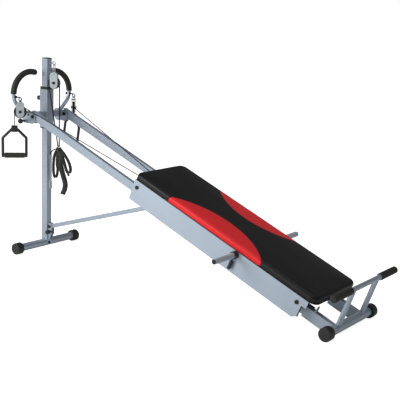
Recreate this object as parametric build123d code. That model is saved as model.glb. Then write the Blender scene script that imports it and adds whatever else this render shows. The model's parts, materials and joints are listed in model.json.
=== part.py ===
from build123d import *
import math
import os

os.makedirs("parts", exist_ok=True)

# Column frame: X runs from the column to the front foot, Y across, Z up from the floor. Sizes in mm.
fit = 0.05  # radial play of a fixed or turning fit
clear = 0.3  # air between pieces that pass each other
tube_wall = 2.0
sheet = 3.0

column_x = 50.0
column_y = 40.0
column_top = 1258.0
cap_lip = 6.0
foot_r = 25.0
foot_cap_r = 37.5
foot_cap_length = 48.0
foot_cap_cover = 24.0
rear_foot_half = 275.0
front_foot_x = 2275.5
front_foot_half = 263.0

sleeve_x = 70.0
sleeve_y = 54.0
sleeve_low = 813.0
sleeve_high = 1062.0
bush_length = 30.0
collar_height = 16.0
beam_x = 40.0
beam_low = 882.0
beam_high = 920.0
bracket_low = 850.0
bracket_front = 915.0
bracket_rear = 930.0
lock_hole_r = 5.5
lock_hole_pitch = 50.0
lock_z = 1000.0
pin_r = 5.0
pin_travel = 10.0

rail_angle = 21.5
rail_z = 944.4
rail_mid = 138.5
rail_width = 25.0
rail_height = 50.0
rail_start = 30.0
rail_end = 2428.0
hinge_u = 54.0
hinge_v = -30.0
hinge_r = 6.0
shoe_start = rail_end - 174.0
shoe_top = 3.0
shoe_depth = 60.0

brace_x = 41.0
brace_z = 151.0
brace_top_u = 1150.0
brace_top_v = -56.6
brace_height = 28.0
brace_width = 14.0
brace_eye_r = 18.0
brace_slot_r = 12.0
brace_play = 4.5

bar_x = -42.0
bar_r = 12.5
foam_r = 19.0
bar_centre_y = 102.0
bar_centre_z = 1033.0
bar_bend = 141.0
bar_arc = 104.0
lower_bend = 90.0

wrap_r = 36.0
sheave_r = 40.0
sheave_width = 18.0
plate_gap = 11.0
cable_r = 2.2
rope_r = 4.0
side_x = 10.0
side_y = 235.0
side_z = 930.0
side_yaw = 45.0
hook_r = 11.75
hook_wire = 3.25
hook_z = 1008.0
link_wire = 2.5
link_half = 8.0
top_x = 68.0
top_yaw = 31.0
eye_z = column_top - 26.0
top_z = eye_z - 125.0
knot_z = 690.0

handle_half = 73.0
handle_tube = 9.0
handle_drop = 190.0
shoulder_drop = 78.0
cable_seat = 3.0
grip_r = 17.0
grip_half = 62.0
near_hub_z = 842.0
far_hub_z = 884.0
near_handle_yaw = 49.0
far_handle_yaw = -5.0
far_handle_tilt = -10.0

panel_out = 218.0
panel_sheet = 2.0
deck_v = 66.0
head_u = 1015.0
roller_head_u = 1046.0
roller_foot_u = 2226.0
roller_v = 28.0
roller_r = 27.7
flange_r = 34.0
roller_half = 19.0
board_thick = 10.0
pad_start = 1002.0
pad_end = 2324.0
pad_top = 105.0
sheave_u = 1075.0
sheave_v = 12.0
peg_u = 1797.0
peg_v = 45.0
peg_r = 16.0
peg_fit = 0.1
peg_length = 236.0
peg_reach = 412.0
peg_end_r = 15.9
peg_end_length = 162.0
groove_depth = 0.5
groove_width = 3.0
socket_r = 19.0
mouth_r = 22.0
mouth_end = 246.0
clamp_y = 232.0

stand_x = 2353.0
stand_z = 263.0
stand_r = 14.0
strut_y = 129.0
stand_half = 346.0
stand_grip_start = 160.0
stand_grip_r = 20.0

slope = math.radians(rail_angle)
on_rail = Pos(0, 0, rail_z) * Rot(0, rail_angle, 0)
rail_in = rail_mid - rail_width / 2
rail_out = rail_mid + rail_width / 2
plate_in = rail_in - 2 * sheet
plate_out = rail_out + 2 * sheet
nodes = {}


def rail_point(u, y, v):
    x = u * math.cos(slope) + v * math.sin(slope)
    z = rail_z - u * math.sin(slope) + v * math.cos(slope)
    return Vector(x, y, z)


def block(x, y, z):
    centre = Pos((x[0] + x[1]) / 2, (y[0] + y[1]) / 2, (z[0] + z[1]) / 2)
    return centre * Box(x[1] - x[0], y[1] - y[0], z[1] - z[0])


def rod(start, end, radius):
    span = Vector(*end) - Vector(*start)
    return Part() + Solid.make_cylinder(radius, span.length, Plane(origin=Vector(*start), z_dir=span))


def pipe(start, end, radius, wall):
    return rod(start, end, radius) - rod(start, end, radius - wall)


def square_tube(x, y, z, axis, wall):
    inner = [[x[0] + wall, x[1] - wall], [y[0] + wall, y[1] - wall], [z[0] + wall, z[1] - wall]]
    inner[axis] = [(x, y, z)[axis][0], (x, y, z)[axis][1]]
    return block(x, y, z) - block(inner[0], inner[1], inner[2])


def cross_bolt(x, z, reach, radius, head_r, head):
    """A bolt along Y with a round head on each side."""
    shape = rod((x, -reach, z), (x, reach, z), radius)
    for side in (-1, 1):
        shape += rod((x, side * reach, z), (x, side * (reach + head), z), head_r)
    return shape


def both(shape):
    return shape + mirror(shape, about=Plane.XZ)


def upright(centre, yaw):
    """Local x is level at the yaw angle, local y is up, local z is the axle."""
    turn = math.radians(yaw)
    flat = (math.cos(turn), math.sin(turn), 0)
    axle = (math.sin(turn), -math.cos(turn), 0)
    return Plane(origin=Vector(*centre), x_dir=flat, z_dir=axle).location


def sheave(cord_radius, bore_r):
    groove = cord_radius + clear
    rim = Cylinder(sheave_r + 1, 2 * groove) - Cylinder(wrap_r, 2 * groove)
    return Cylinder(sheave_r, sheave_width) - Torus(wrap_r, groove) - rim - Cylinder(bore_r, sheave_width)


def oval_link(low, high, half, wire):
    """A closed link in the local XY plane, from low to high along Y at its wire's centre line."""
    ring = Torus(half, wire)
    cut = half + wire + 1
    upper = Pos(0, high - half, 0) * (ring & block((-cut, cut), (0, cut), (-cut, cut)))
    lower = Pos(0, low + half, 0) * (ring & block((-cut, cut), (-cut, 0), (-cut, cut)))
    shape = upper + lower
    for side in (-half, half):
        shape += rod((side, low + half, 0), (side, high - half, 0), wire)
    return shape


def pulley_block(low, high, axle_head):
    """Side plates, axle and hanging bolt round a sheave whose centre is the local origin."""
    height = high - low
    shape = Part()
    for side in (-1, 1):
        plate = extrude(RectangleRounded(50, height, 24), sheet)
        shift = plate_gap if side > 0 else -plate_gap - sheet
        shape += Pos(0, (low + high) / 2, shift) * plate
    reach = plate_gap + sheet
    shape += Cylinder(pin_r, 2 * reach)
    shape += Pos(0, high - 10, 0) * Cylinder(3, 2 * reach)
    for side in (-1, 1):
        shape += Pos(0, 0, side * (reach + 2)) * Cylinder(axle_head, 4)
        shape += Pos(0, high - 10, side * (reach + 1.5)) * Cylinder(5.5, 3)
    return shape


def routed(points, radii, radius):
    """A round cord through the points, each corner rounded by its own radius."""
    spots = [Vector(*point) for point in points]
    edges = []
    last = spots[0]
    for index in range(1, len(spots) - 1):
        back = (spots[index - 1] - spots[index]).normalized()
        ahead = (spots[index + 1] - spots[index]).normalized()
        half = math.radians(back.get_angle(ahead)) / 2
        bend = radii[index - 1]
        start = spots[index] + back * (bend / math.tan(half))
        end = spots[index] + ahead * (bend / math.tan(half))
        middle = spots[index] + (back + ahead).normalized() * (bend / math.sin(half) - bend)
        if (start - last).length > 0.01:
            edges.append(Edge.make_line(last, start))
        edges.append(Edge.make_three_point_arc(start, middle, end))
        last = end
    edges.append(Edge.make_line(last, spots[-1]))
    path = Wire(edges)
    shape = sweep(Plane(origin=path @ 0, z_dir=path % 0) * Circle(radius), path=path)
    print("cord length", round(path.length, 1), "volume ratio",
          round(shape.volume / (math.pi * radius**2 * path.length), 4), "radii", [round(bend, 1) for bend in radii])
    return shape


def wrap_corners(place, start, end, count):
    """Corner points of the path round a sheave, clockwise from one tangent angle to another."""
    step = (start - end) / count
    reach = wrap_r / math.cos(math.radians(step / 2))
    corners = []
    for index in range(count):
        turn = math.radians(start - (index + 0.5) * step)
        spot = place * Pos(reach * math.cos(turn), reach * math.sin(turn), 0)
        corners.append(spot.position)
    return corners


# Stand: column, rear foot, lower bracket
rear_tube = rod((0, -rear_foot_half, foot_cap_r), (0, rear_foot_half, foot_cap_r), foot_r)
column = square_tube((-column_x / 2, column_x / 2), (-column_y / 2, column_y / 2),
                     (foot_cap_r, column_top), 2, tube_wall)
column -= rear_tube
hole_count = 13
for index in range(hole_count):
    hole_z = lock_z - lock_hole_pitch * (index - 2)
    column -= rod((-column_x / 2 - 1, 0, hole_z), (-column_x / 2 + tube_wall + 1, 0, hole_z), lock_hole_r)
column -= rod((-column_x, 0, eye_z), (column_x, 0, eye_z), pin_r + fit)
nodes["column"] = column

cap = block((-column_x / 2, column_x / 2), (-column_y / 2, column_y / 2), (column_top, column_top + cap_lip))
cap = fillet(cap.faces().sort_by(Axis.Z)[-1].edges(), 2.5)
plug_x = column_x / 2 - tube_wall - fit
plug_y = column_y / 2 - tube_wall - fit
cap += block((-plug_x, plug_x), (-plug_y, plug_y), (column_top - 12, column_top))
nodes["column_cap"] = cap


def foot_tube(x, half):
    reach = half - foot_cap_cover
    return pipe((x, -reach, foot_cap_r), (x, reach, foot_cap_r), foot_r, tube_wall)


def foot_caps(x, half):
    cup = rod((x, half - foot_cap_length, foot_cap_r), (x, half, foot_cap_r), foot_cap_r)
    cup = fillet(cup.edges().filter_by(GeomType.CIRCLE), 4)
    cup -= rod((x, half - foot_cap_length - 1, foot_cap_r), (x, half - foot_cap_cover, foot_cap_r), foot_r + fit)
    return both(cup)


nodes["rear_foot"] = foot_tube(0, rear_foot_half)
nodes["rear_foot_caps"] = foot_caps(0, rear_foot_half)

lug_in = brace_width / 2 + 1
lug_out = lug_in + sheet
outline = Polyline((25, 60), (25, 175), (50, 175), (63, 165), (63, 106), (40, 66), (34, 60), close=True)
lug = extrude(Plane.XZ * make_face(outline), sheet)
bracket = both(Pos(0, lug_out, 0) * lug)
bracket += block((column_x / 2, column_x / 2 + sheet), (-lug_in, lug_in), (80, 125))
bracket -= rear_tube
bracket -= rod((brace_x, -lug_out - 1, brace_z), (brace_x, lug_out + 1, brace_z), hinge_r + fit)
fold_x = 52.0
fold_z = 118.0
bracket -= rod((fold_x, -lug_out - 1, fold_z), (fold_x, lug_out + 1, fold_z), pin_r + fit)
nodes["lower_bracket"] = bracket

lower_bolts = cross_bolt(brace_x, brace_z, lug_out, hinge_r, 10, 6)
lower_bolts += rod((foot_r, 0, foot_cap_r), (foot_r + 4, 0, foot_cap_r), 9)
nodes["lower_bolts"] = lower_bolts

eye = rod((-column_x / 2 - 8, 0, eye_z), (top_x - hook_r, 0, eye_z), pin_r)
eye += rod((-column_x / 2 - 8, 0, eye_z), (-column_x / 2, 0, eye_z), 9)
eye += rod((column_x / 2, 0, eye_z), (column_x / 2 + 6, 0, eye_z), 9)
eye_ring = Plane(origin=(top_x, 0, eye_z), z_dir=(0, 1, 0)).location * Torus(hook_r, hook_wire)
eye += eye_ring
nodes["top_eye_bolt"] = eye

fold_knob = rod((fold_x, -lug_out - 12, fold_z), (fold_x, -lug_out - 38, fold_z), 14)
fold_knob = fillet(fold_knob.edges().filter_by(GeomType.CIRCLE), 3)
fold_knob += rod((fold_x, -lug_out - 12, fold_z), (fold_x, lug_out, fold_z), pin_r)
nodes["brace_lock_knob"] = fold_knob

# Brace
brace_low = Vector(brace_x, 0, brace_z)
brace_high = rail_point(brace_top_u, 0, brace_top_v)
brace_span = brace_high - brace_low
brace_rise = math.degrees(math.atan2(brace_span.Z, brace_span.X))
eye_at = brace_span.length + brace_play
bar = block((0, eye_at), (-brace_width / 2, brace_width / 2), (-brace_height / 2, brace_height / 2))
bar += rod((0, -brace_width / 2, 0), (0, brace_width / 2, 0), brace_height / 2)
bar += rod((eye_at, -brace_width / 2, 0), (eye_at, brace_width / 2, 0), brace_eye_r)
bar -= block((40, eye_at - 40), (-brace_width / 2 + tube_wall, brace_width / 2 - tube_wall),
             (-brace_height / 2 + tube_wall, brace_height / 2 - tube_wall))
bar -= rod((0, -brace_width, 0), (0, brace_width, 0), hinge_r + fit)
bar -= rod((eye_at, -brace_width, 0), (eye_at, brace_width, 0), brace_slot_r)
nodes["brace_bar"] = Pos(brace_low) * Rot(0, -brace_rise, 0) * bar

# Sleeve: slides on the column
sleeve = square_tube((-sleeve_x / 2, sleeve_x / 2), (-sleeve_y / 2, sleeve_y / 2),
                     (sleeve_low, sleeve_high), 2, tube_wall)
sleeve -= rod((-sleeve_x, 0, lock_z), (0, 0, lock_z), pin_r + fit)
nodes["sleeve"] = sleeve

bush_x = sleeve_x / 2 - tube_wall - fit
bush_y = sleeve_y / 2 - tube_wall - fit
slide_x = column_x / 2 + 2 * fit
slide_y = column_y / 2 + 2 * fit
bushes = block((-bush_x, bush_x), (-bush_y, bush_y), (sleeve_high - bush_length, sleeve_high))
collar = block((-sleeve_x / 2, sleeve_x / 2), (-sleeve_y / 2 - 1, sleeve_y / 2 + 1),
               (sleeve_high, sleeve_high + collar_height))
bushes += fillet(collar.edges().filter_by(Axis.Z), 6)
bushes += block((-bush_x, bush_x), (-bush_y, bush_y), (sleeve_low, sleeve_low + bush_length))
lip = block((-sleeve_x / 2, sleeve_x / 2), (-sleeve_y / 2 - 1, sleeve_y / 2 + 1), (sleeve_low - 6, sleeve_low))
bushes += fillet(lip.edges().filter_by(Axis.Z), 6)
bushes -= block((-slide_x, slide_x), (-slide_y, slide_y), (sleeve_low - 10, sleeve_high + collar_height + 1))
nodes["sleeve_bushes"] = bushes

beam = square_tube((-beam_x / 2, beam_x / 2), (sleeve_y / 2, plate_in), (beam_low, beam_high), 1, tube_wall)
nodes["cross_beam"] = both(beam)

hinge = rail_point(hinge_u, 0, hinge_v)
nose = hinge.X + 24
plate_line = Polyline((-55, 872), (-40, bracket_low), (hinge.X, bracket_low), (nose, 870),
                      (nose, 905), (hinge.X, bracket_front), (-20, bracket_front), (-28, bracket_rear),
                      (-40, bracket_rear), (-55, 922), close=True)
plate = extrude(Plane.XZ * make_face(plate_line), sheet)
plates = Pos(0, plate_in + sheet, 0) * plate + Pos(0, plate_out, 0) * plate
plates += block((-55, -55 + sheet), (plate_in + sheet, plate_out - sheet), (872, 922))
plates -= rod((hinge.X, plate_in - 1, hinge.Z), (hinge.X, plate_out + 1, hinge.Z), hinge_r + fit)
lock_x = -20.0
lock_low = 866.0
barrel = rod((lock_x, plate_out, lock_low), (lock_x, plate_out + 16, lock_low), 9)
plates += barrel
plates -= rod((lock_x, plate_out - sheet - 1, lock_low), (lock_x, plate_out + 17, lock_low), pin_r + fit)
nodes["hinge_brackets"] = both(plates)

bolt = rod((hinge.X, plate_in - 6, hinge.Z), (hinge.X, plate_out + 6, hinge.Z), hinge_r)
bolt += rod((hinge.X, plate_in - 6, hinge.Z), (hinge.X, plate_in, hinge.Z), 11)
bolt += rod((hinge.X, plate_out, hinge.Z), (hinge.X, plate_out + 6, hinge.Z), 11)
bolt += rod((-2, plate_out, 905), (-2, plate_out + 4, 905), 6)
for low in (plate_in + sheet, rail_out):
    bolt += pipe((hinge.X, low + fit, hinge.Z), (hinge.X, low + sheet - fit, hinge.Z), 14, 14 - hinge_r + fit)
nodes["hinge_bolts"] = both(bolt)


def arc_tube(centre_y, centre_z, bend, low, high, radius):
    """Part of a ring in the plane of the handlebars, between two angles up from level."""
    section = Plane(origin=(bar_x, centre_y + bend, centre_z), z_dir=(0, 0, 1)) * Circle(radius)
    ring = revolve(section, Axis((bar_x, centre_y, centre_z), (1, 0, 0)), high - low)
    return ring.rotate(Axis((bar_x, centre_y, centre_z), (1, 0, 0)), low)


lower_y = bar_centre_y + bar_bend - lower_bend
elbow = Vector(bar_x, lower_y + lower_bend * math.cos(math.pi / 4), bar_centre_z - lower_bend * math.sin(math.pi / 4))
drop = elbow.Y - plate_out + 20
tube = arc_tube(lower_y, bar_centre_z, lower_bend, -45, 0, bar_r)
tube += arc_tube(bar_centre_y, bar_centre_z, bar_bend, 0, bar_arc - 8, bar_r)
tube += rod(elbow, elbow - Vector(0, drop, drop), bar_r)
tube -= block((bar_x - 30, bar_x + 30), (plate_out - 60, plate_out), (820, 1000))
hook_top = hook_z + hook_r
shank_r = hook_wire + 0.5
tube -= rod((bar_x - 30, side_y, hook_top), (bar_x + 30, side_y, hook_top), shank_r + fit)
nodes["handlebars"] = both(tube)

foam = arc_tube(bar_centre_y, bar_centre_z, bar_bend, 2, bar_arc, foam_r)
tip_turn = math.radians(bar_arc)
tip = (bar_x, bar_centre_y + bar_bend * math.cos(tip_turn), bar_centre_z + bar_bend * math.sin(tip_turn))
foam += Pos(*tip) * Sphere(foam_r)
foam -= arc_tube(bar_centre_y, bar_centre_z, bar_bend, -1, bar_arc - 7, bar_r + fit)
nodes["handlebar_foam"] = both(foam)

hook_back = bar_x - bar_r
hook_front = bar_x + bar_r
hook = rod((hook_back - 7, side_y, hook_top), (side_x - 4, side_y, hook_top), shank_r)
hook += rod((hook_back - 7, side_y, hook_top), (hook_back, side_y, hook_top), 8)
hook += rod((hook_front, side_y, hook_top), (hook_front + 5, side_y, hook_top), 8)
hook += Plane(origin=(side_x, side_y, hook_z), z_dir=(0, 1, 0)).location * Torus(hook_r, hook_wire)
nodes["bar_hooks"] = both(hook)

ball = Pos(lock_x, -plate_out - 16 - 34, lock_low) * Sphere(16.5)
lock_knob = ball + rod((lock_x, -plate_out - 17, lock_low), (lock_x, -plate_out - 40, lock_low), 7)
lock_knob += rod((lock_x, -plate_out - 18, lock_low), (lock_x, -plate_out + sheet, lock_low), pin_r)
nodes["hinge_lock_knob"] = lock_knob

height_knob = rod((-sleeve_x / 2 - 14, 0, lock_z), (-sleeve_x / 2 - 44, 0, lock_z), 15)
height_knob = fillet(height_knob.edges().filter_by(GeomType.CIRCLE), 3)
height_knob += rod((-sleeve_x / 2 - 14, 0, lock_z), (-column_x / 2 - clear, 0, lock_z), pin_r)
nodes["height_lock_knob"] = height_knob

# Rails
front_tube = rod((front_foot_x, -front_foot_half, foot_cap_r), (front_foot_x, front_foot_half, foot_cap_r), foot_r)
hinge_bore = rod((hinge.X, 0, hinge.Z), (hinge.X, plate_out + 10, hinge.Z), hinge_r + fit)
rail = square_tube((rail_start, rail_end), (rail_in, rail_out), (-rail_height, 0), 0, tube_wall)
rail += rod((hinge_u, rail_in, hinge_v), (hinge_u, rail_out, hinge_v), 10)
rail = on_rail * rail - front_tube - hinge_bore
nodes["far_rail"] = rail
nodes["near_rail"] = mirror(rail, about=Plane.XZ)

cross_u = 1182.0
crossbar = square_tube((cross_u, cross_u + 30), (-rail_in, rail_in), (-45, -5), 1, tube_wall)
lug_plate = block((brace_top_u - 16, cross_u), (lug_in, lug_out), (brace_top_v - 16, -24))
crossbar += both(lug_plate)
crossbar += rod((brace_top_u, -lug_out - 5, brace_top_v), (brace_top_u, lug_out + 5, brace_top_v), hinge_r)
nodes["mid_crossbar"] = on_rail * crossbar

shoe = block((shoe_start, rail_end), (rail_in - sheet, rail_out + sheet), (-shoe_depth, shoe_top))
shoe -= block((shoe_start - 1, rail_end + 1), (rail_in, rail_out), (-rail_height, 0))
shoe = on_rail * shoe - front_tube
shoe -= block((1800, 2500), (0, 300), (-80, 4))
nodes["rail_shoes"] = both(shoe)

nodes["front_foot"] = foot_tube(front_foot_x, front_foot_half)
nodes["front_foot_caps"] = foot_caps(front_foot_x, front_foot_half)

stand_tube = rod((stand_x, -stand_half, stand_z), (stand_x, stand_half, stand_z), stand_r)
strut = rod((front_foot_x, strut_y, foot_cap_r), (stand_x, strut_y, stand_z), stand_r)
strut -= rod((front_foot_x, strut_y, foot_cap_r), (stand_x, strut_y, stand_z), stand_r - tube_wall)
strut = strut - stand_tube - front_tube

bar_end = stand_half - 8
nodes["squat_stand"] = both(strut) + pipe((stand_x, -bar_end, stand_z), (stand_x, bar_end, stand_z), stand_r, tube_wall)
stand_grip = rod((stand_x, stand_grip_start, stand_z), (stand_x, stand_half, stand_z), stand_grip_r)
stand_grip = fillet(stand_grip.edges().filter_by(GeomType.CIRCLE), 6)
stand_grip -= rod((stand_x, stand_grip_start - 1, stand_z), (stand_x, bar_end, stand_z), stand_r + fit)
nodes["stand_grips"] = both(stand_grip)

stop = block((2297, 2318), (rail_in, rail_out), (shoe_top, shoe_top + 4))
stop += block((2314, 2318), (rail_in, rail_out), (shoe_top, 35))
nodes["stop_brackets"] = both(on_rail * stop)
bumper = block((2256, 2296), (rail_in + 1, rail_out - 1), (shoe_top, 15))
bumper = fillet(bumper.edges().filter_by(Axis.Y), 3)
nodes["stop_bumpers"] = both(on_rail * bumper)

# Carriage, in the frame of the rails
shell_line = Polyline((head_u, deck_v), (head_u, -63), (2231, -63), (2256, -42), (2256, 25), (2285, 25),
                      (2285, deck_v), close=True)
panel = extrude(Plane.XZ * make_face(shell_line), panel_sheet)
panel = Pos(0, panel_out, 0) * panel
for spot_u, spot_v, spot_r in ((roller_head_u, roller_v, hinge_r), (roller_foot_u, roller_v, hinge_r),
                               (peg_u, peg_v, socket_r)):
    panel -= rod((spot_u, 200, spot_v), (spot_u, 230, spot_v), spot_r + fit)
shell = both(panel)
inside = panel_out - panel_sheet
shell += block((head_u, 2285), (-inside, inside), (deck_v - panel_sheet, deck_v))
nodes["carriage_shell"] = on_rail * shell

strip = block((2256, 2262), (inside - 1, panel_out + 1), (-42, 22))
nodes["end_strips"] = on_rail * both(strip)

board = block((pad_start + 3, pad_end - 3), (-panel_out + 2, panel_out - 2), (deck_v, deck_v + board_thick))
nodes["pad_board"] = on_rail * fillet(board.edges().filter_by(Axis.Z), 22)
pad = block((pad_start, pad_end), (-panel_out, panel_out), (deck_v + board_thick, pad_top))
pad = fillet(pad.edges().filter_by(Axis.Z), 25)
pad = fillet(pad.faces().sort_by(Axis.Z)[-1].edges(), 9)
nodes["glide_pad"] = on_rail * pad

axles = Part()
for spot_u in (roller_head_u, roller_foot_u):
    axles += cross_bolt(spot_u, roller_v, panel_out, hinge_r, 11, 6)
    for low, high in ((rail_mid + roller_half + clear, inside), (rail_mid - roller_half - 6, rail_mid - roller_half - clear)):
        axles += both(rod((spot_u, low, roller_v), (spot_u, high, roller_v), 9))
nodes["carriage_axles"] = on_rail * axles


def roller(u, side):
    y = side * rail_mid
    tread = rail_width / 2 + 0.2
    shape = rod((u, y - roller_half, roller_v), (u, y + roller_half, roller_v), flange_r)
    cut = rod((u, y - tread, roller_v), (u, y + tread, roller_v), flange_r + 1)
    cut -= rod((u, y - tread, roller_v), (u, y + tread, roller_v), roller_r)
    shape -= cut
    shape -= rod((u, y - 30, roller_v), (u, y + 30, roller_v), hinge_r + fit)
    return on_rail * shape


nodes["near_head_roller"] = roller(roller_head_u, -1)
nodes["far_head_roller"] = roller(roller_head_u, 1)
nodes["near_foot_roller"] = roller(roller_foot_u, -1)
nodes["far_foot_roller"] = roller(roller_foot_u, 1)

socket_end = mouth_end - 4
socket = pipe((peg_u, -socket_end, peg_v), (peg_u, socket_end, peg_v), socket_r, socket_r - peg_r - peg_fit)
clamp_hole = rod((peg_u, clamp_y, 0), (peg_u, clamp_y, peg_v), pin_r + fit)
socket -= both(clamp_hole)
nodes["peg_socket"] = on_rail * socket
mouth = rod((peg_u, panel_out, peg_v), (peg_u, mouth_end, peg_v), mouth_r)
mouth -= rod((peg_u, panel_out, peg_v), (peg_u, socket_end, peg_v), socket_r + fit)
mouth -= rod((peg_u, panel_out, peg_v), (peg_u, mouth_end + 1, peg_v), peg_r + peg_fit)
nodes["peg_mouths"] = on_rail * both(mouth - clamp_hole)

peg = rod((peg_u, peg_reach - peg_length, peg_v), (peg_u, peg_reach, peg_v), peg_r)
peg -= rod((peg_u, peg_reach - peg_length - 1, peg_v), (peg_u, peg_reach - 12, peg_v), peg_r - tube_wall)
peg -= rod((peg_u, peg_reach - 3, peg_v), (peg_u, peg_reach + 1, peg_v), peg_r - tube_wall)
peg_shoulder = peg_reach - peg_end_length
peg -= pipe((peg_u, peg_shoulder, peg_v), (peg_u, peg_reach + 1, peg_v), peg_r + 1, peg_r + 1 - peg_end_r)
peg -= pipe((peg_u, peg_shoulder - groove_width, peg_v), (peg_u, peg_shoulder, peg_v), peg_r + 1, groove_depth + 1)
nodes["far_peg"] = on_rail * peg
nodes["near_peg"] = on_rail * mirror(peg, about=Plane.XZ)

clamp_top = peg_v - peg_r - clear
clamp = rod((peg_u, clamp_y, -42), (peg_u, clamp_y, 8), 10)
clamp = fillet(clamp.edges().filter_by(GeomType.CIRCLE), 2)
clamp += rod((peg_u, clamp_y, 8), (peg_u, clamp_y, clamp_top), pin_r)
nodes["far_peg_clamp"] = on_rail * clamp
nodes["near_peg_clamp"] = on_rail * mirror(clamp, about=Plane.XZ)

yoke_v = sheave_v + sheave_width / 2 + 1
yoke = block((1054, 1150), (-30, 30), (yoke_v, yoke_v + 4))
yoke += block((1120, 1150), (-30, 30), (yoke_v + 4, deck_v - panel_sheet))
yoke += rod((sheave_u, 0, -2), (sheave_u, 0, yoke_v), pin_r)
yoke += rod((sheave_u, 0, sheave_v - sheave_width / 2 - 5), (sheave_u, 0, sheave_v - sheave_width / 2 - clear), 9)
nodes["cable_yoke"] = on_rail * yoke
nodes["carriage_sheave"] = on_rail * Pos(sheave_u, 0, sheave_v) * sheave(cable_r, pin_r + fit)

# Pulleys that hang from the handlebars, and their handles
block_low = -35.0
block_high = 62.0
near_place = upright((side_x, -side_y, side_z), side_yaw)
far_place = upright((side_x, side_y, side_z), -side_yaw)
link_high = hook_z - hook_r + hook_wire + clear + link_wire
link_low = side_z + block_high - 10 - 3 - clear - link_wire
side_link = oval_link(link_low, link_high, link_half, link_wire)
for name, place, side in (("near", near_place, -1), ("far", far_place, 1)):
    hanger = upright((side_x, side * side_y, 0), 90) * side_link
    nodes[name + "_block"] = place * pulley_block(block_low, block_high, 9) + hanger
    nodes[name + "_sheave"] = place * sheave(cable_r, pin_r + fit)


def handle(place):
    legs = ((-handle_half, -handle_drop), (-handle_half, -shoulder_drop), (-18, -24), (18, -24),
            (handle_half, -shoulder_drop), (handle_half, -handle_drop))
    points = [(x, y, 0) for x, y in legs]
    path = FilletPolyline(*points, radius=14)
    shape = sweep(Plane(origin=path @ 0, z_dir=path % 0) * Circle(handle_tube), path=path)
    hub = block((-20, 20), (-40, 0), (-16, 16))
    shape += fillet(hub.edges(), 5)
    for side in (-1, 1):
        shape += Pos(side * (grip_half + 9.5), -handle_drop, 0) * Rot(0, 90, 0) * Cylinder(14, 18)
    shape += Pos(0, -handle_drop, 0) * Rot(0, 90, 0) * Cylinder(pin_r, 2 * grip_half + 2)
    shape -= rod((0, -2 * cable_seat, 0), (0, 1, 0), cable_r + 0.8)
    return place * shape


def handle_grip(place):
    grip = Cylinder(grip_r, 2 * grip_half)
    grip = fillet(grip.edges(), 3) - Cylinder(pin_r + fit, 2 * grip_half)
    return place * Pos(0, -handle_drop, 0) * Rot(0, 90, 0) * grip


near_drop = (near_place * Pos(-wrap_r, 0, 0)).position
far_drop = (far_place * Pos(-wrap_r, 0, 0)).position
near_handle_place = upright((near_drop.X, near_drop.Y, near_hub_z), near_handle_yaw)
far_handle_place = upright((far_drop.X, far_drop.Y, far_hub_z), far_handle_yaw) * Rot(0, 0, far_handle_tilt)
nodes["near_handle"] = handle(near_handle_place)
nodes["far_handle"] = handle(far_handle_place)
nodes["near_grip"] = handle_grip(near_handle_place)
nodes["far_grip"] = handle_grip(far_handle_place)

# Pull cable, from handle to handle round the carriage sheave
leave = 30.0
leave_turn = math.radians(leave)
flat_share = math.cos(math.radians(side_yaw))
across = side_x + flat_share * wrap_r * math.sin(leave_turn)
above = side_z + wrap_r * math.cos(leave_turn) - rail_z
over = across * math.sin(slope) + above * math.cos(slope) - sheave_v
fall = math.sin(leave_turn) * math.cos(slope) - flat_share * math.cos(leave_turn) * math.sin(slope)
run = over / fall
turn_t = wrap_r * math.sin(leave_turn) + run * math.cos(leave_turn)
turn_z = wrap_r * math.cos(leave_turn) - run * math.sin(leave_turn)


def half_route(place, drop, hub_z):
    route = [Vector(drop.X, drop.Y, hub_z - cable_seat)]
    route += wrap_corners(place, 180, 90 - leave, 2)
    route.append((place * Pos(turn_t, turn_z, 0)).position)
    return route


near_half = half_route(near_place, near_drop, near_hub_z)
far_half = half_route(far_place, far_drop, far_hub_z)
corner = near_half[-1]
corner_u = corner.X * math.cos(slope) - (corner.Z - rail_z) * math.sin(slope)
far_away = math.hypot(sheave_u - corner_u, corner.Y)
aim = math.atan2(-corner.Y, sheave_u - corner_u) - math.asin(wrap_r / far_away)
tuck = wrap_r * math.tan((math.pi / 2 - aim) / 2)
middle_route = [rail_point(sheave_u + wrap_r, -tuck, sheave_v), rail_point(sheave_u + wrap_r, tuck, sheave_v)]
route = near_half + middle_route + far_half[::-1]
turn = (near_half[-1] - near_half[-2]).get_angle(middle_route[0] - near_half[-1])
soft_bend = 0.45 * (near_half[-1] - near_half[-2]).length / math.tan(math.radians(turn) / 2)
bends = [wrap_r, wrap_r, soft_bend, wrap_r, wrap_r, soft_bend, wrap_r, wrap_r]
nodes["pull_cable"] = routed(route, bends, cable_r)

# Top pulley with its rope, straps and chain
top_place = upright((top_x, 0, top_z), top_yaw)
top_low = -37.0
top_high = 68.0
top_link = oval_link(top_z + top_high - 13 - clear - 3, eye_z - hook_r + hook_wire + clear + 3, link_half, 3)
nodes["top_block"] = top_place * pulley_block(top_low, top_high, 9) + upright((top_x, 0, 0), 90) * top_link
nodes["top_sheave"] = top_place * sheave(rope_r, pin_r + fit)

knot_t = 28.0
knot_drop = knot_z - top_z
rope_drop = knot_drop + 0.8
lean = math.atan2(knot_t, -rope_drop) + math.asin(wrap_r / math.hypot(knot_t, rope_drop))
rope_route = [(top_place * Pos(knot_t, rope_drop, 0)).position]
rope_route += wrap_corners(top_place, 180 + math.degrees(lean), 0, 3)
rope_route.append((top_place * Pos(wrap_r, rope_drop, 0)).position)
nodes["top_rope"] = routed(rope_route, [wrap_r] * 3, rope_r)

knot_spot = top_place * Pos((knot_t + wrap_r) / 2, knot_drop, 0)
knot_x = knot_spot.position.X
knot_y = knot_spot.position.Y


def band(points, low, high, thick, bend):
    """A webbing strap of one thickness along a bent line in the XZ plane."""
    line = FilletPolyline(*points, radius=bend)
    face = Plane.XZ * trace(line, thick)
    return Pos(0, high, 0) * extrude(face, high - low)


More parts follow.
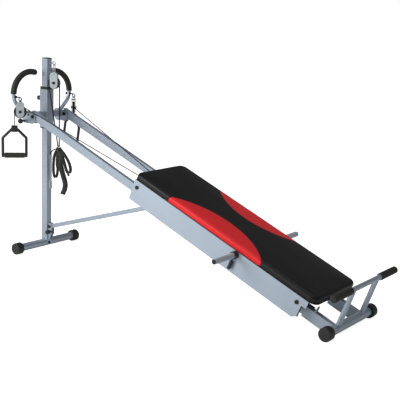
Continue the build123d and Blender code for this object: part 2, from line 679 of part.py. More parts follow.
straps = block((knot_x - 22, knot_x + 22), (knot_y - 16, knot_y + 16), (knot_z - 28, knot_z))
straps = fillet(straps.edges(), 8)
low_z = knot_z - 26
chain_tab_x = 56.0
straps += band([(knot_x - 8, low_z), (58, 590), (40, 502), (52, 474), (72, 520), (knot_x - 4, low_z)], -2, 24, 4, 8)
straps += band([(knot_x + 8, low_z), (170, 640), (209, 592), (201, 511), (150, 560), (knot_x + 4, low_z)], 6, 34, 4, 12)
straps += band([(knot_x, low_z), (96, 560), (92, 368)], 4, 44, 4, 30)
straps += band([(knot_x - 12, low_z + 8), (68, 668), (chain_tab_x, 656)], -22, -6, 3, 6)
straps += block((chain_tab_x - 2, chain_tab_x + 2), (-22, -6), (642.3, 660))
nodes["strap_set"] = straps

chain_x = chain_tab_x
chain_y = -14.0
link_pitch = 20.0
chain = Part()
for index in range(7):
    low = 606 - link_pitch * index - 24
    chain += upright((chain_x, chain_y, 0), 90 * (index % 2)) * oval_link(low, low + 24, 6, 1.9)
chain += upright((chain_x, chain_y, 0), 90) * oval_link(602, 640, 9, 2)
chain += upright((chain_x, chain_y, 0), 90) * oval_link(414, 467.2, 9, 3)
nodes["strap_chain"] = chain

# Everything moves so that the part's own frame has its origin below the middle
solids = {name: Compound(shape.solids()) for name, shape in nodes.items()}
boxes = [shape.bounding_box() for shape in solids.values()]
shift_x = -(min(box.min.X for box in boxes) + max(box.max.X for box in boxes)) / 2
shift_y = -(min(box.min.Y for box in boxes) + max(box.max.Y for box in boxes)) / 2
shift_z = -min(box.min.Z for box in boxes)
shift = Pos(shift_x, shift_y, shift_z)
for name, shape in solids.items():
    export_step(shift * shape, f"parts/{name}.step")
print("shift", shift_x, shift_y, shift_z)
peg_spot = rail_point(peg_u, peg_reach, peg_v)
for label, spot in (("hinge", hinge), ("brace", brace_low), ("brace_top", brace_high), ("peg", peg_spot),
                    ("near_drop", near_drop), ("far_drop", far_drop),
                    ("head_roller", rail_point(roller_head_u, rail_mid, roller_v)),
                    ("foot_roller", rail_point(roller_foot_u, rail_mid, roller_v)),
                    ("carriage_sheave", rail_point(sheave_u, 0, sheave_v))):
    print("point", label, round(spot.X + shift_x, 3), round(spot.Y + shift_y, 3), round(spot.Z + shift_z, 3))
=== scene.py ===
import bmesh, bpy, json, math
from mathutils import Matrix, Vector


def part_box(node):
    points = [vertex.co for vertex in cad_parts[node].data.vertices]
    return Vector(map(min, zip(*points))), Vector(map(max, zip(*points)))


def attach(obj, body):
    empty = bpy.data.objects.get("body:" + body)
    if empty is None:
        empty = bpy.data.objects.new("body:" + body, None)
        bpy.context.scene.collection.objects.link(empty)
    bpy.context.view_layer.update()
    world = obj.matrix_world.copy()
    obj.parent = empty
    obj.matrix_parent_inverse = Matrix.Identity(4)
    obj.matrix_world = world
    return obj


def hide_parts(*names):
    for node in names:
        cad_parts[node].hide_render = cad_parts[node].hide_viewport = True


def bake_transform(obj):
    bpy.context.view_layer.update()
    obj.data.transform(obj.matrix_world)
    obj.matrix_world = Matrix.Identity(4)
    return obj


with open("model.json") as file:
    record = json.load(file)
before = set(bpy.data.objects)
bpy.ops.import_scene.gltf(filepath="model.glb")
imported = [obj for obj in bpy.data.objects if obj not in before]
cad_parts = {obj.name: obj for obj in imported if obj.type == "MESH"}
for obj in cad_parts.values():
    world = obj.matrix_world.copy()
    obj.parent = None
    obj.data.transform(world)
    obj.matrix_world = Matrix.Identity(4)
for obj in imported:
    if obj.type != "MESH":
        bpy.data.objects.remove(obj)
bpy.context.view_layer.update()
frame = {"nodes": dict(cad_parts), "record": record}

nodes = frame["nodes"]
record = frame["record"]
scene = bpy.context.scene
scene.view_settings.view_transform = "Standard"

# Camera
cameraLook = {"place": (3.0814, -3.9339, 1.5793), "azimuth": 36.65, "elevation": 12.10, "roll": 2.26, "lens": 78.2}


def makeCamera(look):
    turn = math.radians(look["azimuth"])
    rise = math.radians(look["elevation"])
    roll = math.radians(look["roll"])
    back = Vector((math.sin(turn) * math.cos(rise), -math.cos(turn) * math.cos(rise), math.sin(rise)))
    right = Vector((math.cos(turn), math.sin(turn), 0))
    up = back.cross(right)
    rolledRight = right * math.cos(roll) + up * math.sin(roll)
    rolledUp = up * math.cos(roll) - right * math.sin(roll)
    data = bpy.data.cameras.new("camera")
    data.lens = look["lens"]
    data.sensor_width = 36
    data.clip_end = 60
    camera = bpy.data.objects.new("camera", data)
    scene.collection.objects.link(camera)
    camera.matrix_world = Matrix.Translation(look["place"]) @ Matrix((rolledRight, rolledUp, back)).transposed().to_4x4()
    scene.camera = camera


makeCamera(cameraLook)
print("camera placed")

# Rail frame, worked out from the joints of the record
slide = next(joint for joint in record["behaviour"]["joints"] if joint["name"] == "carriage_slide")
alongRail = -Vector(slide["axis"])  # downhill
offRail = Vector((-alongRail.z, 0, alongRail.x))


# Node helpers
def makeGroup(name, inputs, outputs):
    group = bpy.data.node_groups.new(name, "ShaderNodeTree")
    for label, kind, value in inputs:
        socket = group.interface.new_socket(label, in_out="INPUT", socket_type=kind)
        if value is not None:
            socket.default_value = value
    for label, kind in outputs:
        group.interface.new_socket(label, in_out="OUTPUT", socket_type=kind)
    return group, group.nodes.new("NodeGroupInput"), group.nodes.new("NodeGroupOutput")


def mathNode(tree, operation, first, second=None):
    node = tree.nodes.new("ShaderNodeMath")
    node.operation = operation
    for index, value in enumerate((first, second)):
        if value is None:
            continue
        if isinstance(value, (int, float)):
            node.inputs[index].default_value = value
        else:
            tree.links.new(value, node.inputs[index])
    return node.outputs[0]


def noiseNode(tree, vector, scale, detail):
    node = tree.nodes.new("ShaderNodeTexNoise")
    node.inputs["Detail"].default_value = detail
    tree.links.new(vector, node.inputs["Vector"])
    if isinstance(scale, (int, float)):
        node.inputs["Scale"].default_value = scale
    else:
        tree.links.new(scale, node.inputs["Scale"])
    return node.outputs["Fac"]


def bumpNode(tree, height, strength, distance):
    node = tree.nodes.new("ShaderNodeBump")
    node.inputs["Distance"].default_value = distance
    tree.links.new(height, node.inputs["Height"])
    if isinstance(strength, (int, float)):
        node.inputs["Strength"].default_value = strength
    else:
        tree.links.new(strength, node.inputs["Strength"])
    return node.outputs["Normal"]


# Powder coat and plating: slow tone change, fine grain, faint wear
def grainGroup():
    group, source, sink = makeGroup("surfaceGrain", [("Place", "NodeSocketVector", None), ("Fine", "NodeSocketFloat", 900.0),
        ("Relief", "NodeSocketFloat", 0.15)], [("Tone", "NodeSocketFloat"), ("Grain", "NodeSocketFloat"),
        ("Normal", "NodeSocketVector")])
    slow = noiseNode(group, source.outputs["Place"], 6.0, 3.0)
    fine = noiseNode(group, source.outputs["Place"], source.outputs["Fine"], 2.0)
    group.links.new(slow, sink.inputs["Tone"])
    group.links.new(fine, sink.inputs["Grain"])
    group.links.new(bumpNode(group, fine, source.outputs["Relief"], 0.0004), sink.inputs["Normal"])
    return group


# Foam and rubber: small open cells, with painted shade: the colour mask darkens each cell pit and lightens its rim
def cellGroup():
    group, source, sink = makeGroup("openCellsAndPitShade", [("Place", "NodeSocketVector", None), ("Size", "NodeSocketFloat", 420.0),
        ("Relief", "NodeSocketFloat", 0.5)], [("PitShadeMask", "NodeSocketFloat"), ("Normal", "NodeSocketVector")])
    cells = group.nodes.new("ShaderNodeTexVoronoi")
    group.links.new(source.outputs["Place"], cells.inputs["Vector"])
    group.links.new(source.outputs["Size"], cells.inputs["Scale"])
    slow = noiseNode(group, source.outputs["Place"], 60.0, 3.0)
    height = mathNode(group, "ADD", cells.outputs["Distance"], slow)
    # Painted shade mask: the cell distance, low in the pits where the bump is low
    group.links.new(cells.outputs["Distance"], sink.inputs["PitShadeMask"])
    group.links.new(bumpNode(group, height, source.outputs["Relief"], 0.0008), sink.inputs["Normal"])
    return group


# Woven strap: ribs across a twill, with painted shade: the colour mask darkens the hollows between the ribs and
# lightens the crests
def weaveGroup():
    group, source, sink = makeGroup("wovenRibsAndShade", [("Place", "NodeSocketVector", None), ("Pitch", "NodeSocketFloat", 320.0),
        ("Relief", "NodeSocketFloat", 0.6)], [("RibShadeMask", "NodeSocketFloat"), ("Normal", "NodeSocketVector")])
    ribs = []
    for direction in ("X", "Y", "Z"):
        wave = group.nodes.new("ShaderNodeTexWave")
        wave.bands_direction = direction
        group.links.new(source.outputs["Place"], wave.inputs["Vector"])
        group.links.new(source.outputs["Pitch"], wave.inputs["Scale"])
        ribs.append(wave.outputs["Fac"])
    height = mathNode(group, "MULTIPLY", mathNode(group, "ADD", ribs[0], ribs[1]), ribs[2])
    # Painted shade mask: the rib height, low in the hollows between ribs
    group.links.new(height, sink.inputs["RibShadeMask"])
    group.links.new(bumpNode(group, height, source.outputs["Relief"], 0.0006), sink.inputs["Normal"])
    return group


groups = {"grain": grainGroup(), "cells": cellGroup(), "weave": weaveGroup()}
print("shader groups made")


def startMaterial(name):
    material = bpy.data.materials.new(name)
    material.use_nodes = True
    tree = material.node_tree
    shader = tree.nodes["Principled BSDF"]
    place = tree.nodes.new("ShaderNodeTexCoord").outputs["Object"]
    return material, tree, shader, place


def useGroup(tree, key, place, values):
    node = tree.nodes.new("ShaderNodeGroup")
    node.node_tree = groups[key]
    tree.links.new(place, node.inputs["Place"])
    for label, value in values.items():
        node.inputs[label].default_value = value
    return node


def mixColour(tree, mask, dark, light):
    node = tree.nodes.new("ShaderNodeMix")
    node.data_type = "RGBA"
    tree.links.new(mask, node.inputs[0])
    for socket, value in ((node.inputs[6], dark), (node.inputs[7], light)):
        if isinstance(value, tuple):
            socket.default_value = (*value, 1)
        else:
            tree.links.new(value, socket)
    return node.outputs[2]


def spread(tree, value, low, high):
    node = tree.nodes.new("ShaderNodeMapRange")
    node.inputs["To Min"].default_value = low
    node.inputs["To Max"].default_value = high
    tree.links.new(value, node.inputs["Value"])
    return node.outputs["Result"]


def hardMaterial(name, look):
    material, tree, shader, place = startMaterial(name)
    grain = useGroup(tree, "grain", place, {"Fine": look["fine"], "Relief": look["relief"]})
    colour = mixColour(tree, grain.outputs["Tone"], look["dark"], look["light"])
    tree.links.new(colour, shader.inputs["Base Color"])
    tree.links.new(spread(tree, grain.outputs["Grain"], look["rough"] - 0.06, look["rough"] + 0.06), shader.inputs["Roughness"])
    tree.links.new(grain.outputs["Normal"], shader.inputs["Normal"])
    shader.inputs["Metallic"].default_value = look["metal"]
    shader.inputs["Coat Weight"].default_value = look["coat"]
    shader.inputs["Coat Roughness"].default_value = 0.2
    return material


def cellMaterial(name, look):
    material, tree, shader, place = startMaterial(name)
    cells = useGroup(tree, "cells", place, {"Size": look["size"], "Relief": look["relief"]})
    # Painted shade: the pits take the dark colour, the rims the light one
    tree.links.new(mixColour(tree, cells.outputs["PitShadeMask"], look["dark"], look["light"]), shader.inputs["Base Color"])
    tree.links.new(cells.outputs["Normal"], shader.inputs["Normal"])
    shader.inputs["Roughness"].default_value = look["rough"]
    return material


def weaveMaterial(name, look):
    material, tree, shader, place = startMaterial(name)
    weave = useGroup(tree, "weave", place, {"Pitch": look["pitch"], "Relief": look["relief"]})
    # Painted shade: the hollows between the ribs take the dark colour, the crests the light one
    tree.links.new(mixColour(tree, weave.outputs["RibShadeMask"], look["dark"], look["light"]), shader.inputs["Base Color"])
    tree.links.new(weave.outputs["Normal"], shader.inputs["Normal"])
    shader.inputs["Roughness"].default_value = look["rough"]
    shader.inputs["Sheen Weight"].default_value = 0.3
    return material


def hardLook(dark, light, metal, rough, coat=0.0, fine=900.0, relief=0.12):
    return {"dark": dark, "light": light, "metal": metal, "rough": rough, "coat": coat, "fine": fine, "relief": relief}


paintLook = hardLook((0.36, 0.42, 0.50), (0.42, 0.49, 0.57), 0.45, 0.34, 0.2)
panelLook = hardLook((0.40, 0.47, 0.56), (0.47, 0.55, 0.64), 0.35, 0.36, 0.2)
zincLook = hardLook((0.55, 0.58, 0.60), (0.72, 0.75, 0.77), 0.9, 0.3)
pulleyLook = hardLook((0.50, 0.57, 0.60), (0.62, 0.69, 0.72), 0.6, 0.34)
boltLook = hardLook((0.012, 0.012, 0.014), (0.03, 0.03, 0.032), 0.5, 0.35)
pegLook = hardLook((0.40, 0.46, 0.52), (0.50, 0.56, 0.62), 0.1, 0.5)
plasticLook = hardLook((0.010, 0.010, 0.011), (0.020, 0.020, 0.021), 0.0, 0.38, 0.1, 500.0, 0.2)
rollerLook = hardLook((0.012, 0.012, 0.014), (0.025, 0.025, 0.028), 0.0, 0.28, 0.2)
cordLook = hardLook((0.004, 0.004, 0.004), (0.010, 0.010, 0.010), 0.0, 0.6, 0.0)
# In these three looks the dark colour is painted shade in the pits or between the ribs, the light colour the lit rims
# and crests
rubberLook = {"dark": (0.008, 0.008, 0.008), "light": (0.022, 0.022, 0.022), "size": 900.0, "relief": 0.12, "rough": 0.5}
foamLook = {"dark": (0.010, 0.010, 0.008), "light": (0.035, 0.035, 0.030), "size": 420.0, "relief": 0.35, "rough": 0.75}
webbingLook = {"dark": (0.006, 0.006, 0.007), "light": (0.030, 0.030, 0.032), "pitch": 60.0, "relief": 0.5, "rough": 0.7}
materials = {
    "frame_paint": hardMaterial("framePaint", paintLook), "panel_paint": hardMaterial("panelPaint", panelLook),
    "zinc": hardMaterial("zincPlate", zincLook), "pulley_zinc": hardMaterial("pulleyPlate", pulleyLook),
    "dark_bolts": hardMaterial("darkBolts", boltLook), "peg_steel": hardMaterial("pegSteel", pegLook),
    "black_plastic": hardMaterial("blackPlastic", plasticLook), "roller_plastic": hardMaterial("rollerPlastic", rollerLook),
    "cable_black": hardMaterial("cableBlack", cordLook), "black_rubber": cellMaterial("blackRubber", rubberLook),
    "foam": cellMaterial("foamGrip", foamLook), "webbing": weaveMaterial("webbing", webbingLook)}
print("materials made")

# Pad cover: black vinyl with a red inset sewn in on each side
# blackLight and redLight are the lit rims of the vinyl grain; black and red are used in its pits as painted shade
coverLook = {"black": (0.007, 0.007, 0.008), "blackLight": (0.013, 0.012, 0.012), "red": (0.80, 0.009, 0.014),
    "redLight": (0.88, 0.016, 0.020), "centre": 1.615, "nearOffset": 0.551, "nearRadius": 0.476, "farOffset": 0.472,
    "farRadius": 0.397, "stitchGap": 0.006, "stitchWide": 0.0007, "rough": 0.42}
columnX = sum(corner[0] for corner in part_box("column")) / 2
railHeight = 0.9444  # where the line of the rails meets the column


def coverMaterial(look):
    material, tree, shader, place = startMaterial("padCover")
    split = tree.nodes.new("ShaderNodeSeparateXYZ")
    tree.links.new(place, split.inputs[0])
    x, y, z = split.outputs
    along = mathNode(tree, "ADD", mathNode(tree, "MULTIPLY", mathNode(tree, "SUBTRACT", x, columnX), alongRail.x),
        mathNode(tree, "MULTIPLY", mathNode(tree, "SUBTRACT", z, railHeight), alongRail.z))
    isFar = mathNode(tree, "GREATER_THAN", y, 0.0)
    offset = spread(tree, isFar, look["nearOffset"], look["farOffset"])
    radius = spread(tree, isFar, look["nearRadius"], look["farRadius"])
    side = mathNode(tree, "SUBTRACT", mathNode(tree, "ABSOLUTE", y), offset)
    level = mathNode(tree, "SUBTRACT", along, look["centre"])
    squares = mathNode(tree, "ADD", mathNode(tree, "MULTIPLY", side, side), mathNode(tree, "MULTIPLY", level, level))
    far = mathNode(tree, "SQRT", squares)
    edge = mathNode(tree, "SUBTRACT", far, radius)
    inside = mathNode(tree, "LESS_THAN", edge, 0.0)
    # The sewn join is a real groove; the same band also darkens the cover as painted shade in the groove
    seamGrooveAndShade = mathNode(tree, "SUBTRACT", 1.0, mathNode(tree, "MULTIPLY", mathNode(tree, "ABSOLUTE", edge), 350.0))
    seamGrooveAndShade = mathNode(tree, "MAXIMUM", seamGrooveAndShade, 0.0)
    fromRow = mathNode(tree, "ABSOLUTE", mathNode(tree, "SUBTRACT", mathNode(tree, "ABSOLUTE", edge), look["stitchGap"]))
    stitchRow = mathNode(tree, "LESS_THAN", fromRow, look["stitchWide"])
    angle = mathNode(tree, "ARCTAN2", side, level)
    dashes = mathNode(tree, "GREATER_THAN", mathNode(tree, "SINE", mathNode(tree, "MULTIPLY", angle, 420.0)), -0.2)
    stitch = mathNode(tree, "MULTIPLY", stitchRow, dashes)
    cells = useGroup(tree, "cells", place, {"Size": 700.0, "Relief": 0.12})
    # Painted shade: the grain pits of the black and the red vinyl take the darker colour, the rims the lighter one
    black = mixColour(tree, cells.outputs["PitShadeMask"], look["black"], look["blackLight"])
    red = mixColour(tree, cells.outputs["PitShadeMask"], look["red"], look["redLight"])
    cover = mixColour(tree, inside, black, red)
    # Painted shade: the cover turns near black along the sewn join
    sewn = mixColour(tree, seamGrooveAndShade, cover, (0.008, 0.004, 0.004))
    stitched = mixColour(tree, mathNode(tree, "MULTIPLY", stitch, 0.5), sewn, (0.01, 0.01, 0.01))
    tree.links.new(stitched, shader.inputs["Base Color"])
    shader.inputs["Specular IOR Level"].default_value = 0.3
    groove = tree.nodes.new("ShaderNodeBump")
    groove.invert = True
    groove.inputs["Strength"].default_value = 0.7
    groove.inputs["Distance"].default_value = 0.002
    tree.links.new(mathNode(tree, "ADD", seamGrooveAndShade, mathNode(tree, "MULTIPLY", stitch, 0.4)), groove.inputs["Height"])
    tree.links.new(cells.outputs["Normal"], groove.inputs["Normal"])
    tree.links.new(groove.outputs["Normal"], shader.inputs["Normal"])
    wear = spread(tree, noiseNode(tree, place, 9.0, 2.0), look["rough"] - 0.05, look["rough"] + 0.08)
    tree.links.new(wear, shader.inputs["Roughness"])
    return material


materials["pad_vinyl"] = coverMaterial(coverLook)
materialSwaps = {"bar_hooks": "dark_bolts", "stop_brackets": "frame_paint"}
for part in record["subparts"]:
    shown = nodes[part["node"]]
    chosen = materials[materialSwaps.get(part["node"], part["material_slot"])]
    for index in range(max(1, len(shown.material_slots))):
        if shown.material_slots:
            shown.material_slots[index].material = chosen
        else:
            shown.data.materials.append(chosen)
print("materials set")

# Small rounded edges on the hard pieces
edgeLook = {"width": 0.0009, "segments": 2, "sharp": 40, "skip": ("pull_cable", "top_rope", "glide_pad")}
for name, shown in nodes.items():
    if name in edgeLook["skip"]:
        continue
    bevel = shown.modifiers.new("edges", "BEVEL")
    bevel.width = edgeLook["width"]
    bevel.segments = edgeLook["segments"]
    bevel.limit_method = "ANGLE"
    bevel.angle_limit = math.radians(edgeLook["sharp"])
print("edges rounded")


def link(name, mesh, material, body):
    shown = bpy.data.objects.new(name, mesh)
    scene.collection.objects.link(shown)
    if not mesh.materials:
        mesh.materials.append(material)
    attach(shown, body)
    return shown


def railPoint(along, across, above):
    return Vector((columnX, across, railHeight)) + alongRail * along + offRail * above


# Pad: crowned foam under a vinyl cover, with a welt round its lower edge
padLook = {"start": 1.002, "end": 2.324, "half": 0.218, "corner": 0.046, "low": 0.0672, "high": 0.1045, "crown": 0.006,
    "welt": 0.0028, "cornerSteps": 8, "rows": 46, "columns": 16}


def padRows(look, inset):
    # Rows across the pad: distance along the rails and half width of each
    corner = max(look["corner"] - inset, 0.006)
    start, end, half = look["start"] + inset, look["end"] - inset, look["half"] - inset
    rows = []
    for index in range(look["cornerSteps"]):
        turn = math.pi / 2 * index / look["cornerSteps"]
        rows.append((start + corner * (1 - math.cos(turn)), half - corner + corner * math.sin(turn)))
    for index in range(look["rows"] + 1):
        rows.append((start + corner + (end - start - 2 * corner) * index / look["rows"], half))
    for index in range(look["cornerSteps"] - 1, -1, -1):
        turn = math.pi / 2 * index / look["cornerSteps"]
        rows.append((end - corner * (1 - math.cos(turn)), half - corner + corner * math.sin(turn)))
    return rows


def padOutline(look, inset):
    rows = padRows(look, inset)
    across = [2 * index / look["columns"] - 1 for index in range(look["columns"] + 1)]
    points = [(rows[0][0], rows[0][1] * share) for share in across]
    points += [(along, half) for along, half in rows[1:-1]]
    points += [(rows[-1][0], -rows[-1][1] * share) for share in across]
    points += [(along, -half) for along, half in rows[-2:0:-1]]
    return points


def makePad(look):
    high, columns = look["high"], look["columns"]
    profile = [(0.014, look["low"]), (0.005, look["low"]), (0.0015, look["low"] + 0.003), (0.0, look["low"] + 0.010),
        (0.0, high - 0.013), (0.002, high - 0.007), (0.006, high - 0.0028), (0.012, high - 0.0004)]
    verts = [railPoint(along, across, above) for inset, above in profile for along, across in padOutline(look, inset)]
    count = len(padOutline(look, 0.0))
    faces = []
    for ring in range(len(profile) - 1):
        for index in range(count):
            after = (index + 1) % count
            faces.append((ring * count + after, ring * count + index, (ring + 1) * count + index, (ring + 1) * count + after))
    rows = padRows(look, 0.020)
    first = len(verts)
    for along, half in rows:
        ends = min(along - look["start"], look["end"] - along)
        for column in range(columns + 1):
            across = half * (2 * column / columns - 1)
            nearEdge = min(ends, look["half"] - abs(across))
            rise = math.sin(math.pi / 2 * min(1.0, nearEdge / 0.16))
            verts.append(railPoint(along, across, high + look["crown"] * rise))
    for row in range(len(rows) - 1):
        for column in range(columns):
            corner = first + row * (columns + 1) + column
            faces.append((corner, corner + columns + 1, corner + columns + 2, corner + 1))
    topRing = [first + column for column in range(columns + 1)]
    topRing += [first + row * (columns + 1) + columns for row in range(1, len(rows) - 1)]
    topRing += [first + (len(rows) - 1) * (columns + 1) + columns - column for column in range(columns + 1)]
    topRing += [first + row * (columns + 1) for row in range(len(rows) - 2, 0, -1)]
    rim = (len(profile) - 1) * count
    for index in range(count):
        after = (index + 1) % count
        faces.append((rim + after, rim + index, topRing[index], topRing[after]))
    faces.append(tuple(range(count)))
    mesh = bpy.data.meshes.new("padCover")
    mesh.from_pydata(verts, [], faces)
    for polygon in mesh.polygons:
        polygon.use_smooth = True
    pad = link("padCover", mesh, materials["pad_vinyl"], "carriage")
    smooth = pad.modifiers.new("smooth", "SUBSURF")
    smooth.levels = 1
    smooth.render_levels = 1
    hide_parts("glide_pad", "pad_board")
    return pad


makePad(padLook)


def makeWelt(look):
    curve = bpy.data.curves.new("padWelt", "CURVE")
    curve.dimensions = "3D"
    curve.bevel_depth = look["welt"]
    curve.bevel_resolution = 3
    spline = curve.splines.new("POLY")
    points = padOutline(look, 0.001)
    spline.points.add(len(points) - 1)
    for spot, (along, across) in zip(spline.points, points):
        spot.co = (*railPoint(along, across, look["low"] + 0.001), 1)
    spline.use_cyclic_u = True
    curve.materials.append(materials["black_plastic"])
    welt = bpy.data.objects.new("padWelt", curve)
    scene.collection.objects.link(welt)
    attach(welt, "carriage")


makeWelt(padLook)
print("pad made")

# On the machine the pull cable shortens as the carriage climbs; here its middle stays fixed, and each end hangs with
# its handle
cableLook = {"thicker": 0.0005, "hangTop": 0.9301, "hangOut": 0.25}  # ends hang below and beyond these


def cablePart(name, keep):
    mesh = nodes["pull_cable"].data.copy()
    shape = bmesh.new()
    shape.from_mesh(mesh)
    extra = [face for face in shape.faces if not keep(face)]
    bmesh.ops.delete(shape, geom=extra, context="FACES")
    bmesh.ops.remove_doubles(shape, verts=shape.verts, dist=0.00001)
    edges = [edge for edge in shape.edges if edge.is_boundary]
    if edges:
        bmesh.ops.holes_fill(shape, edges=edges)
    shape.to_mesh(mesh)
    shape.free()
    piece = bpy.data.objects.new(name, mesh)
    scene.collection.objects.link(piece)
    thicker = piece.modifiers.new("thicker", "DISPLACE")
    thicker.strength = cableLook["thicker"]
    thicker.mid_level = 0.0
    return piece


def hangs(face, side):
    return all(spot.co.z < cableLook["hangTop"] and spot.co.y * side > cableLook["hangOut"] for spot in face.verts)


cable = cablePart("pullCable", lambda face: not hangs(face, 1) and not hangs(face, -1))
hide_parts("pull_cable")
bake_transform(cable)
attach(cablePart("nearCableEnd", lambda face: hangs(face, -1)), "near_stirrup")
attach(cablePart("farCableEnd", lambda face: hangs(face, 1)), "far_stirrup")
print("cable made")

# Straps gathered in a knot under the top pulley: each is a ribbon along a bent line, in millimetres from the knot
strapLook = {"knot": (0.0954, 0.0165), "thick": 0.0024, "steps": 7, "wrapSteps": 20, "wrapHalf": 0.008,
    "wraps": ({"tilt": 0.35, "drop": 0.013, "radius": 0.019}, {"tilt": -0.3, "drop": 0.015, "radius": 0.0165},
    {"tilt": 0.05, "drop": 0.018, "radius": 0.0145})}
straps = {
    "leftLoop": {"width": 18, "turn": 25, "line": [(-8, 0, -10), (-36, -2, -58), (-45, -3, -130), (-43, 0, -190),
        (-31, 4, -206), (-18, 6, -180), (-12, 6, -110), (-4, 4, -18)]},
    "middleLoop": {"width": 26, "turn": -10, "line": [(-2, 4, -12), (-20, 12, -70), (-24, 15, -128), (-8, 17, -150),
        (6, 15, -122), (10, 10, -60), (6, 4, -12)]},
    "rightLoop": {"width": 20, "turn": 30, "line": [(8, 6, -12), (44, 8, -42), (84, 11, -92), (98, 13, -138),
        (84, 13, -164), (62, 12, -148), (38, 10, -88), (10, 6, -18)]},
    "shortTail": {"width": 18, "turn": -30, "line": [(8, 12, -16), (34, 17, -90), (54, 20, -146), (76, 20, -184)]},
    "wideTail": {"width": 34, "turn": 12, "line": [(0, 8, -14), (4, 12, -110), (26, 14, -180), (46, 15, -232),
        (46, 14, -268), (24, 14, -314)]},
    "chainTab": {"width": 14, "turn": 90, "line": [(-10, -6, -8), (-26, -20, -20), (-39.4, -30.5, -34), (-39.4, -30.5, -47)]}}


def smoothLine(points, steps):
    # Catmull-Rom line through the points
    ends = [points[0] * 2 - points[1]] + points + [points[-1] * 2 - points[-2]]
    line = []
    for before, first, second, after in zip(ends, ends[1:], ends[2:], ends[3:]):
        for index in range(steps):
            share = index / steps
            slope = (second - before) * share
            curve = (before * 2 - first * 5 + second * 4 - after) * share ** 2
            twist = (first * 3 - before - second * 3 + after) * share ** 3
            line.append((first * 2 + slope + curve + twist) / 2)
    line.append(points[-1])
    return line


def addRibbon(verts, faces, line, width, turn):
    start, facing, ripple = len(verts), Vector((0.8, 0.6, 0)), 0.12  # flat side towards the front, a little rippled
    for index, spot in enumerate(line):
        ahead = line[min(index + 1, len(line) - 1)]
        behind = line[max(index - 1, 0)]
        tangent = (ahead - behind).normalized()
        across = facing * math.cos(turn) + Vector((0, math.sin(turn), ripple * math.sin(index)))
        across = (across - tangent * across.dot(tangent)).normalized()
        verts.extend((spot - across * width / 2, spot, spot + across * width / 2))
    for index in range(len(line) - 1):
        corner = start + index * 3
        faces.append((corner, corner + 1, corner + 4, corner + 3))
        faces.append((corner + 1, corner + 2, corner + 5, corner + 4))


def makeStraps(look):
    knot = Vector((columnX + look["knot"][0], look["knot"][1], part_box("strap_set")[1][2]))
    verts, faces = [], []
    for strap in straps.values():
        line = smoothLine([knot + Vector(point) / 1000 for point in strap["line"]], look["steps"])
        addRibbon(verts, faces, line, strap["width"] / 1000, math.radians(strap["turn"]))
    for wrap in look["wraps"]:
        start, count = len(verts), look["wrapSteps"]
        for index in range(count):
            angle = 2 * math.pi * index / count
            reach = wrap["radius"] * math.cos(angle)
            spot = knot + Vector((reach, wrap["radius"] * 0.75 * math.sin(angle), wrap["tilt"] * reach - wrap["drop"]))
            for rise in (-1, 0, 1):
                verts.append(spot + Vector((0, 0, rise * look["wrapHalf"])))
        for index in range(count):
            corner, after = start + index * 3, start + (index + 1) % count * 3
            for column in range(2):
                faces.append((corner + column, corner + column + 1, after + column + 1, after + column))
    mesh = bpy.data.meshes.new("strapBundle")
    mesh.from_pydata(verts, [], faces)
    for polygon in mesh.polygons:
        polygon.use_smooth = True
    bundle = link("strapBundle", mesh, materials["webbing"], "top_hanger")
    thick = bundle.modifiers.new("thick", "SOLIDIFY")
    thick.thickness = look["thick"]
    thick.offset = 0
    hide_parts("strap_set")


makeStraps(strapLook)
print("straps made")

# Dark bolt heads on the pulley plates and plugs in the peg ends
boltHeadLook = {"out": 0.0165, "radius": 0.0094, "depth": 0.0028}
plugLook = {"out": 0.4095, "radius": 0.0136, "depth": 0.0024}


def makeDisc(name, body, centre, axle, radius, depth):
    verts, faces = [], []
    side = axle.orthogonal().normalized()
    other = axle.cross(side)
    rings = ((radius, 0), (radius, depth * 0.7), (radius * 0.8, depth), (radius * 0.3, depth))
    count = 28
    for ringRadius, lift in rings:
        for index in range(count):
            turn = 2 * math.pi * index / count
            verts.append(centre + axle * lift + (side * math.cos(turn) + other * math.sin(turn)) * ringRadius)
    for ring in range(len(rings) - 1):
        for index in range(count):
            after = (index + 1) % count
            faces.append((ring * count + index, ring * count + after, (ring + 1) * count + after, (ring + 1) * count + index))
    faces.append(tuple(range((len(rings) - 1) * count, len(rings) * count)))
    faces.append(tuple(range(count - 1, -1, -1)))
    mesh = bpy.data.meshes.new(name)
    mesh.from_pydata(verts, [], faces)
    link(name, mesh, materials["dark_bolts"], body)


joints = {joint["name"]: joint for joint in record["behaviour"]["joints"]}
for side, body in (("near", "near_hanger"), ("far", "far_hanger"), ("top", "top_hanger")):
    spin = joints[side + "_sheave_spin"]
    axle = Vector(spin["axis"])
    for facing in (-1, 1):
        centre = Vector(spin["pos_m"]) + axle * facing * boltHeadLook["out"]
        makeDisc(f"{side}Bolt{facing + 1}", body, centre, axle * facing, boltHeadLook["radius"], boltHeadLook["depth"])
for side, facing, body in (("near", -1, "near_weight_peg"), ("far", 1, "far_weight_peg")):
    mount = next(item for item in record["mounts"] if item["name"] == side + "_weight_peg_mount")
    tip = Vector(mount["pos_m"])
    tip.y = facing * plugLook["out"]
    makeDisc(side + "Plug", body, tip, Vector((0, facing, 0)), plugLook["radius"], plugLook["depth"])
print("bolts and plugs made")

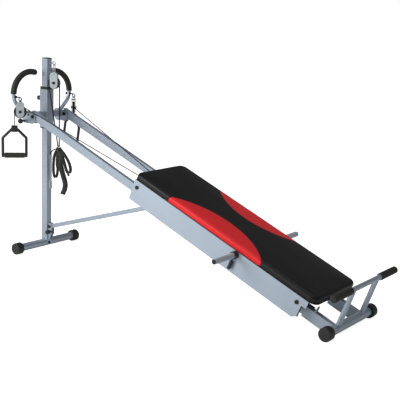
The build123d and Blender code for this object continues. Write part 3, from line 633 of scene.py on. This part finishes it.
# Floor, backdrop and lights
floorLook = {"base": 0.93, "rough": 0.9, "glow": 0.85, "half": 30}
floorMaterial = bpy.data.materials.new("floor")
floorMaterial.use_nodes = True
floorShader = floorMaterial.node_tree.nodes["Principled BSDF"]
floorShader.inputs["Base Color"].default_value = (floorLook["base"], floorLook["base"], floorLook["base"], 1)
floorShader.inputs["Roughness"].default_value = floorLook["rough"]
floorShader.inputs["Specular IOR Level"].default_value = 0.1
floorShader.inputs["Emission Color"].default_value = (1, 1, 1, 1)
floorRays = floorMaterial.node_tree.nodes.new("ShaderNodeLightPath")
floorGlow = mathNode(floorMaterial.node_tree, "MULTIPLY", floorRays.outputs["Is Camera Ray"], floorLook["glow"])
floorMaterial.node_tree.links.new(floorGlow, floorShader.inputs["Emission Strength"])
floorMesh = bpy.data.meshes.new("floor")
half = floorLook["half"]
floorMesh.from_pydata([(-half, -half, 0), (half, -half, 0), (half, half, 0), (-half, half, 0)], [], [(0, 1, 2, 3)])
floorMesh.materials.append(floorMaterial)
floor = bpy.data.objects.new("floor", floorMesh)
scene.collection.objects.link(floor)

worldLook = {"fill": 0.42, "bright": 0.62, "dark": 0.05, "front": 0.3, "rise": (0.05, 0.55), "turn": (-0.1, 0.8)}
world = bpy.data.worlds.new("studio")
scene.world = world
world.use_nodes = True
tree = world.node_tree
background = tree.nodes["Background"]
path = tree.nodes.new("ShaderNodeLightPath")
direction = tree.nodes.new("ShaderNodeTexCoord").outputs["Generated"]
parts = tree.nodes.new("ShaderNodeSeparateXYZ")
tree.links.new(direction, parts.inputs[0])
fade = tree.nodes.new("ShaderNodeMapRange")
fade.interpolation_type = "SMOOTHSTEP"
fade.inputs["From Min"].default_value, fade.inputs["From Max"].default_value = worldLook["rise"]
fade.inputs["To Min"].default_value = worldLook["bright"]
fade.inputs["To Max"].default_value = worldLook["dark"]
tree.links.new(parts.outputs[2], fade.inputs["Value"])
glossy = mathNode(tree, "MULTIPLY", path.outputs["Is Glossy Ray"], fade.outputs["Result"])
plain = mathNode(tree, "MULTIPLY", mathNode(tree, "SUBTRACT", 1.0, path.outputs["Is Glossy Ray"]), worldLook["fill"])
front = tree.nodes.new("ShaderNodeMapRange")
front.inputs["From Min"].default_value, front.inputs["From Max"].default_value = worldLook["turn"]
front.inputs["To Min"].default_value = 1.0
front.inputs["To Max"].default_value = worldLook["front"]
tree.links.new(parts.outputs[0], front.inputs["Value"])
lit = mathNode(tree, "MULTIPLY", mathNode(tree, "ADD", glossy, plain), front.outputs["Result"])
seen = mathNode(tree, "MAXIMUM", lit, path.outputs["Is Camera Ray"])
tree.links.new(seen, background.inputs["Strength"])
background.inputs["Color"].default_value = (1, 1, 1, 1)

lightLooks = {"key": {"place": (-2.2, -4.2, 2.4), "aim": (0.1, 0, 0.5), "size": 2.4, "power": 165},
    "top": {"place": (0.8, 0.5, 4.5), "aim": (0.2, 0, 0.3), "size": 3.5, "power": 38}}
for name, look in lightLooks.items():
    data = bpy.data.lights.new(name, "AREA")
    data.shape = "SQUARE"
    data.size = look["size"]
    data.energy = look["power"]
    lamp = bpy.data.objects.new(name, data)
    scene.collection.objects.link(lamp)
    lamp.location = look["place"]
    lamp.rotation_euler = (Vector(look["aim"]) - Vector(look["place"])).to_track_quat("-Z", "Y").to_euler()
print("stage lit")
